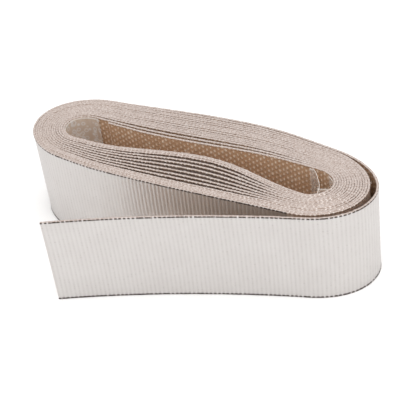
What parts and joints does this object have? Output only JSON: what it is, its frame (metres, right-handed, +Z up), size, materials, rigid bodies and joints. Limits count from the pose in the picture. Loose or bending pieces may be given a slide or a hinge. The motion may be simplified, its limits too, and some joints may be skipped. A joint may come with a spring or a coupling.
{
  "type": "heat shield tape",
  "caption": "Flat-wound coil of aluminised woven glass cloth tape standing on its edge, with a loose outer turn, a straight tail and a lifted release film.",
  "frame": {"origin": "on the floor, under the middle of the whole piece's bounding box", "axes": "+X along the coil's long axis towards its loose round end, +Y towards its back run, away from the tail, +Z up across the tape's width"},
  "size_m": [0.1512, 0.0862, 0.0381],
  "materials": {
    "aluminised_cloth": "woven glass cloth with a satin aluminium foil on its outer side",
    "release_film": "thin clear film"
  },
  "bodies": {
    "root": {"tape": "aluminised_cloth", "release_film": "release_film"}
  },
  "joints": []
}
